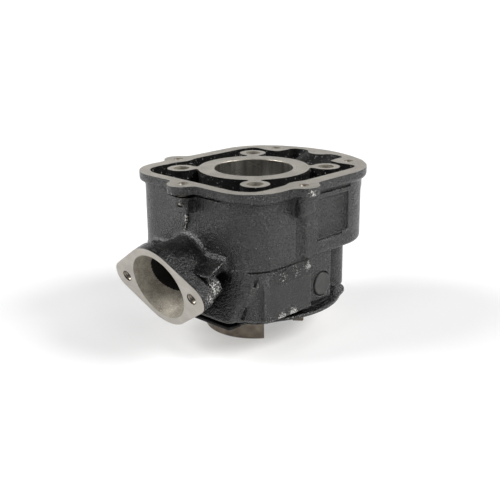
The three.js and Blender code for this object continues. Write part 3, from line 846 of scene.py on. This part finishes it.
def plug_finish():
    """Pressed steel under the same black coat, smoother than the casting."""
    f = Finish("plug_steel", (0.03, 0.03, 0.029), 0.42)
    f.set("Base Color", f.ramp(f.noise(2.5, 3), (0.3, (0.026, 0.0255, 0.025)), (0.7, (0.05, 0.048, 0.046))))
    f.set("Roughness", f.ramp(f.noise(0.8, 3), (0.3, 0.36), (0.7, 0.5)))
    f.bump(f.noise(0.6, 3), 0.1, 0.6)
    return f.material


def thread_finish():
    f = Finish("thread_iron", (0.3, 0.27, 0.22), 0.35, 1.0)
    f.set("Base Color", f.ramp(f.noise(0.8, 3), (0.3, (0.16, 0.14, 0.115)), (0.7, (0.42, 0.38, 0.32))))
    return f.material


def flash_finish():
    """Bright broken metal where the coat has chipped off the casting flash."""
    f = Finish("flash_iron", (0.5, 0.48, 0.45), 0.35, 0.9)
    f.set("Base Color", f.ramp(f.noise(0.9, 3), (0.4, (0.04, 0.038, 0.035)), (0.56, (0.72, 0.7, 0.66))))
    f.bump(f.noise(0.4, 3), 0.2, 0.8)
    return f.material


def shown(name, mesh):
    piece = bpy.data.objects.new(name, mesh)
    bpy.context.scene.collection.objects.link(piece)
    return piece


deck_iron = deck_finish()
flange_iron = flange_finish()
casting = make_casting([coated_iron(), deck_iron, flange_iron, duct_iron(), pocket_iron(), painted_shade_finish()])


def lathe(name, profile, segments=192, matrix=None):
    """A closed ring of revolution about Z from a closed profile of (radius, z)."""
    bm = bmesh.new()
    rings = []
    for i in range(segments):
        turn = 2 * math.pi * i / segments
        rings.append([bm.verts.new((r * math.cos(turn), r * math.sin(turn), z)) for r, z in profile])
    for i in range(segments):
        here, there = rings[i], rings[(i + 1) % segments]
        for j in range(len(profile)):
            k = (j + 1) % len(profile)
            bm.faces.new((here[j], there[j], there[k], here[k]))
    bmesh.ops.recalc_face_normals(bm, faces=bm.faces)
    if matrix:
        bm.transform(matrix)
    mesh = bpy.data.meshes.new(name)
    bm.to_mesh(mesh)
    bm.free()
    return mesh


def prism_mesh(name, points, low, high, to_place=lambda x, y, z: (x, y, z)):
    bm = bmesh.new()
    bottom = [bm.verts.new(to_place(x, y, low)) for x, y in points]
    top = [bm.verts.new(to_place(x, y, high)) for x, y in points]
    bm.faces.new(bottom)
    bm.faces.new(top)
    for i in range(len(points)):
        j = (i + 1) % len(points)
        bm.faces.new((bottom[i], bottom[j], top[j], top[i]))
    bmesh.ops.recalc_face_normals(bm, faces=bm.faces)
    mesh = bpy.data.meshes.new(name)
    bm.to_mesh(mesh)
    bm.free()
    return mesh


def rounded_rectangle(x0, x1, y0, y1, r, steps=6):
    quarter = math.pi / 2
    centres = [(x1 - r, y1 - r), (x0 + r, y1 - r), (x0 + r, y0 + r), (x1 - r, y0 + r)]
    points = []
    for i, (cx, cy) in enumerate(centres):
        points += arc(cx, cy, r, i * quarter, (i + 1) * quarter, steps)
    return points


def exhaust_place(u, v, t):
    return (u, FLANGE_Y - v * SIN_T + t * COS_T, FLANGE_Z + v * COS_T + t * SIN_T)


def cut_away(mesh, cutters):
    """The mesh less its cutters, by exact booleans."""
    work = bpy.data.objects.new("work", mesh)
    bpy.context.scene.collection.objects.link(work)
    helpers = []
    for cutter in cutters:
        helper = bpy.data.objects.new("helper", cutter)
        bpy.context.scene.collection.objects.link(helper)
        modifier = work.modifiers.new("cut", "BOOLEAN")
        modifier.operation = "DIFFERENCE"
        modifier.solver = "EXACT"
        modifier.object = helper
        helpers.append(helper)
    made = bpy.data.meshes.new_from_object(work.evaluated_get(bpy.context.evaluated_depsgraph_get()))
    for thing in [work, *helpers]:
        bpy.data.objects.remove(thing)
    return made


def make_liner(bore_finish, top_finish, skirt_finish, edge_finish):
    """The sleeve: a turned ring less its windows and the notches between the skirt's tongues."""
    lead = 0.5
    profile = [
        (LINER_R, 0.0),
        (LINER_R, SKIRT_Z + lead),
        (LINER_R - lead, SKIRT_Z),
        (BORE_R + lead, SKIRT_Z),
        (BORE_R, SKIRT_Z + 2 * lead),
        (BORE_R, -0.35),
        (BORE_R + 0.35, 0.0),
    ]
    mesh = lathe("liner", profile)
    turns = np.linspace(0, 2 * math.pi, 64, endpoint=False)
    oval = [(THROAT_R * math.cos(a), PORT_HALF_HEIGHT * math.sin(a)) for a in turns]
    cutters = [prism_mesh("port", oval, 30, 60, exhaust_place)]
    for sign in (1, -1):
        for y0, y1 in TRANSFER_WINDOWS:
            shape = rounded_rectangle(y0, y1, WINDOW_LOW_Z, WINDOW_HIGH_Z, WINDOW_CORNER_R)
            cutters.append(prism_mesh("window", shape, 10, 40, lambda y, z, x, sign=sign: (sign * x, y, z)))
        ends = [(80 * math.cos(a), 80 * math.sin(a)) for a in (SKIRT_FRONT_ANGLE, SKIRT_REAR_ANGLE)]
        wedge = [(sign * x, y) for x, y in [(0, 0), *ends]]
        cutters.append(prism_mesh("notch", wedge, SKIRT_Z - 5, BASE_Z))
    half = BOOST_HALF_WIDTH
    shape = rounded_rectangle(-half, half, WINDOW_LOW_Z, WINDOW_HIGH_Z, WINDOW_CORNER_R)
    cutters.append(prism_mesh("boost", shape, 10, 40, lambda x, z, y: (x, y, z)))
    made = cut_away(mesh, cutters)
    made.shade_smooth()
    made.set_sharp_from_angle(angle=math.radians(28))
    for finish in (bore_finish, top_finish, skirt_finish, edge_finish):
        made.materials.append(finish)
    for face in made.polygons:
        x, y, z = face.center
        radius = math.hypot(x, y)
        if radius < BORE_R + 0.02:
            face.material_index = 0
        elif z > -0.5:
            face.material_index = 1
        elif radius > LINER_R - 0.6:
            face.material_index = 2
        else:
            face.material_index = 3
    return shown("liner", placed(made))


def make_plug(side, sign, finish):
    """A pressed-in core plug: a shallow disc with a rolled edge, standing just proud."""
    profile = [(0.02, 0.42), (PLUG_R - 1.1, 0.42), (PLUG_R - 0.5, 0.55), (PLUG_R - 0.15, 0.4)]
    profile += [(PLUG_R, 0.05), (PLUG_R, -2.2), (0.02, -2.2)]
    turn = Matrix.Rotation(math.radians(90), 4, "Y")
    place = Matrix.Translation((sign * PAD_X, PLUG_Y, PLUG_Z)) @ Matrix.Scale(sign, 4, (1, 0, 0)) @ turn
    mesh = lathe("plug_" + side, profile, 64, place)
    mesh.shade_smooth()
    mesh.set_sharp_from_angle(angle=math.radians(50))
    mesh.materials.append(finish)
    plug = shown("core_plug_" + side + "_look", placed(mesh))
    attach(plug, "root")
    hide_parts("core_plug_" + side)


def thread_grid(bm, minor, major, pitch, low, high, matrix):
    """A threaded sleeve: a helical V groove inside, a plain wall outside."""
    around, rows = 48, int((high - low) / pitch * 8)
    wall = major + 0.3
    inner, outer = [], []
    for j in range(rows + 1):
        z = low + (high - low) * j / rows
        ring_in, ring_out = [], []
        for i in range(around):
            turn = 2 * math.pi * i / around
            phase = (z / pitch + i / around) % 1.0
            r = minor + (major - minor) * abs(2 * phase - 1)
            cos, sin = math.cos(turn), math.sin(turn)
            ring_in.append(bm.verts.new(matrix @ Vector((r * cos, r * sin, z))))
            ring_out.append(bm.verts.new(matrix @ Vector((wall * cos, wall * sin, z))))
        inner.append(ring_in)
        outer.append(ring_out)
    for j in range(rows):
        for i in range(around):
            k = (i + 1) % around
            bm.faces.new((inner[j][i], inner[j][k], inner[j + 1][k], inner[j + 1][i]))
            bm.faces.new((outer[j][k], outer[j][i], outer[j + 1][i], outer[j + 1][k]))
    for j, order in ((0, 1), (rows, -1)):
        for i in range(around):
            k = (i + 1) % around
            bm.faces.new([inner[j][i], outer[j][i], outer[j][k], inner[j][k]][::order])


def make_threads(name, slots, finish):
    bm = bmesh.new()
    for minor, major, pitch, low, high, matrix in slots:
        thread_grid(bm, minor, major, pitch, low, high, matrix)
    bmesh.ops.recalc_face_normals(bm, faces=bm.faces)
    mesh = bpy.data.meshes.new(name)
    bm.to_mesh(mesh)
    bm.free()
    mesh.shade_smooth()
    mesh.set_sharp_from_angle(angle=math.radians(40))
    mesh.materials.append(finish)
    threads = shown(name, placed(mesh))
    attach(threads, "root")


def make_flash(finish):
    """Casting flash on the mould's parting line: a ragged chip and a thin ridge."""
    random = np.random.default_rng(7)
    bm = bmesh.new()
    path = [(-0.9, -45.7, -14.2), (-1.0, -45.6, -15.6), (-0.8, -45.7, -17.0), (-1.0, -45.6, -18.6)]
    path += [(-1.3, -45.5, -19.8), (-1.6, -45.35, -21.4), (-2.2, -45.3, -23.2), (-3.2, -45.2, -25.2)]
    radii = [0.7, 1.0, 1.15, 1.2, 0.75, 0.32, 0.28, 0.3]
    for (x, y, z), radius in zip(path, radii):
        made = bmesh.ops.create_icosphere(bm, subdivisions=3, radius=1.0)
        squash = Vector((0.75, 0.55, 1.15)) * radius
        if radius < 0.5:
            squash = Vector((radius, radius, 1.5))
        offset = Vector(random.uniform(-9, 9, 3))
        for v in made["verts"]:
            swell = 1 + 0.55 * noise.noise(v.co * 1.7 + offset)
            v.co = Vector((x, y, z)) + Vector(v.co[i] * squash[i] * swell for i in range(3))
    mesh = bpy.data.meshes.new("flash")
    bm.to_mesh(mesh)
    bm.free()
    mesh.shade_smooth()
    mesh.materials.append(finish)
    flash = shown("casting_flash", placed(mesh))
    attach(flash, "root")


bore_iron = bore_finish()
skirt_iron = skirt_finish()
liner = make_liner(bore_iron, deck_iron, skirt_iron, skirt_iron)
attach(liner, "root")
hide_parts("cylinder_liner")
for side, sign in (("right", 1), ("left", -1)):
    make_plug(side, sign, plug_finish())
thread_iron = thread_finish()
to_flange = Matrix(((1, 0, 0, 0), (0, -SIN_T, -COS_T, FLANGE_Y), (0, COS_T, -SIN_T, FLANGE_Z), (0, 0, 0, 1)))
ear_holes = [(*EAR_THREAD, to_flange @ Matrix.Translation((s * EAR_X, 0, 0))) for s in (1, -1)]
make_threads("stud_threads", ear_holes, thread_iron)
cover_holes = [(*COVER_THREAD, Matrix.Translation((x, y, 0))) for x, y in LUG_HOLES]
make_threads("cover_threads", cover_holes, thread_iron)
make_flash(flash_finish())

CAST_NODES = [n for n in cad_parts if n.startswith("casting_")]
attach(casting, "root")
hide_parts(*CAST_NODES)

# ---------- floor, lights and camera ----------
FLOOR_HALF = 40.0
FLOOR_GLOW = 0.38
floor_mesh = bpy.data.meshes.new("floor")
corners = [(-1, -1), (1, -1), (1, 1), (-1, 1)]
floor_mesh.from_pydata([(x * FLOOR_HALF, y * FLOOR_HALF, 0) for x, y in corners], [], [(0, 1, 2, 3)])
floor_finish = Finish("floor", (0.6, 0.6, 0.6), 0.9)
floor_finish.set("Specular IOR Level", 0.0)
floor_finish.set("Emission Color", (1, 1, 1, 1))
floor_finish.set("Emission Strength", FLOOR_GLOW)
floor_mesh.materials.append(floor_finish.material)
shown("floor", floor_mesh)

CAMERA_PLACE = Vector((301.482, -310.170, 94.862))
CAMERA_YAW = math.radians(44.493)
CAMERA_PITCH = math.radians(17.827)
CAMERA_ROLL = math.radians(-0.522)
CAMERA_FOCUS = 867.144 / 500
camera_data = bpy.data.cameras.new("camera")
camera_data.sensor_width = 36
camera_data.lens = CAMERA_FOCUS * 36
camera_data.clip_start = 0.01
camera = bpy.data.objects.new("camera", camera_data)
bpy.context.scene.collection.objects.link(camera)
back = Vector(
    (
        math.sin(CAMERA_YAW) * math.cos(CAMERA_PITCH),
        -math.cos(CAMERA_YAW) * math.cos(CAMERA_PITCH),
        math.sin(CAMERA_PITCH),
    )
)
right = (-back).cross(Vector((0, 0, 1))).normalized()
up = right.cross(-back)
turned_right = math.cos(CAMERA_ROLL) * right + math.sin(CAMERA_ROLL) * up
turned_up = -math.sin(CAMERA_ROLL) * right + math.cos(CAMERA_ROLL) * up
camera.matrix_world = Matrix.Translation(AXIS + CAMERA_PLACE * MM) @ Matrix(
    (turned_right, turned_up, back)
).transposed().to_4x4()
bpy.context.scene.camera = camera

bpy.context.scene.view_settings.view_transform = "Standard"


# Azimuth from the camera, elevation, half-width (all in degrees) and strength.
SOFT_BOXES = [
    (72, 39, 15, 17.0),
    (-84, 37, 15, 15.0),
    (35, 40, 15, 4.0),
    (-40, 45, 15, 3.0),
    (130, 48, 15, 3.0),
]
BACK_WALL = (-150, 75, 1.1)  # azimuth, half-width and strength
WALL_TOP = (10, 32)  # elevations between which the back wall fades out


def studio_world():
    """Soft boxes around and above, and a paler wall behind."""
    world = bpy.data.worlds.new("studio")
    world.use_nodes = True
    tree = world.node_tree
    background = tree.nodes["Background"]
    background.inputs["Color"].default_value = (1, 1, 1, 1)
    direction = tree.nodes.new("ShaderNodeTexCoord").outputs["Generated"]
    front = Vector((back.x, back.y, 0)).normalized()

    def facing(azimuth, elevation, start, end, strength):
        """Light from one direction: full within `end` degrees of it, none beyond `start`."""
        turn, lift = math.radians(azimuth), math.radians(elevation)
        level = math.cos(turn) * front + math.sin(turn) * right
        dot = tree.nodes.new("ShaderNodeVectorMath")
        dot.operation = "DOT_PRODUCT"
        tree.links.new(direction, dot.inputs[0])
        dot.inputs[1].default_value = math.cos(lift) * level + Vector((0, 0, math.sin(lift)))
        spread = tree.nodes.new("ShaderNodeMapRange")
        spread.interpolation_type = "SMOOTHSTEP"
        tree.links.new(dot.outputs["Value"], spread.inputs["Value"])
        limits = {
            "From Min": math.cos(math.radians(start)),
            "From Max": math.cos(math.radians(end)),
            "To Min": 0.0,
            "To Max": strength,
        }
        for name, value in limits.items():
            spread.inputs[name].default_value = value
        return spread.outputs["Result"]

    def combine(operation, a, b):
        node = tree.nodes.new("ShaderNodeMath")
        node.operation = operation
        tree.links.new(a, node.inputs[0])
        tree.links.new(b, node.inputs[1])
        return node.outputs[0]

    azimuth, half_width, strength = BACK_WALL
    above = facing(0, -90, 90 + WALL_TOP[1], 90 + WALL_TOP[0], 1.0)
    light = combine("MULTIPLY", facing(azimuth, 0, half_width, 30, strength), above)
    for azimuth, elevation, half_width, strength in SOFT_BOXES:
        light = combine("ADD", light, facing(azimuth, elevation, half_width, half_width * 0.6, strength))
    tree.links.new(light, background.inputs["Strength"])
    return world


bpy.context.scene.world = studio_world()
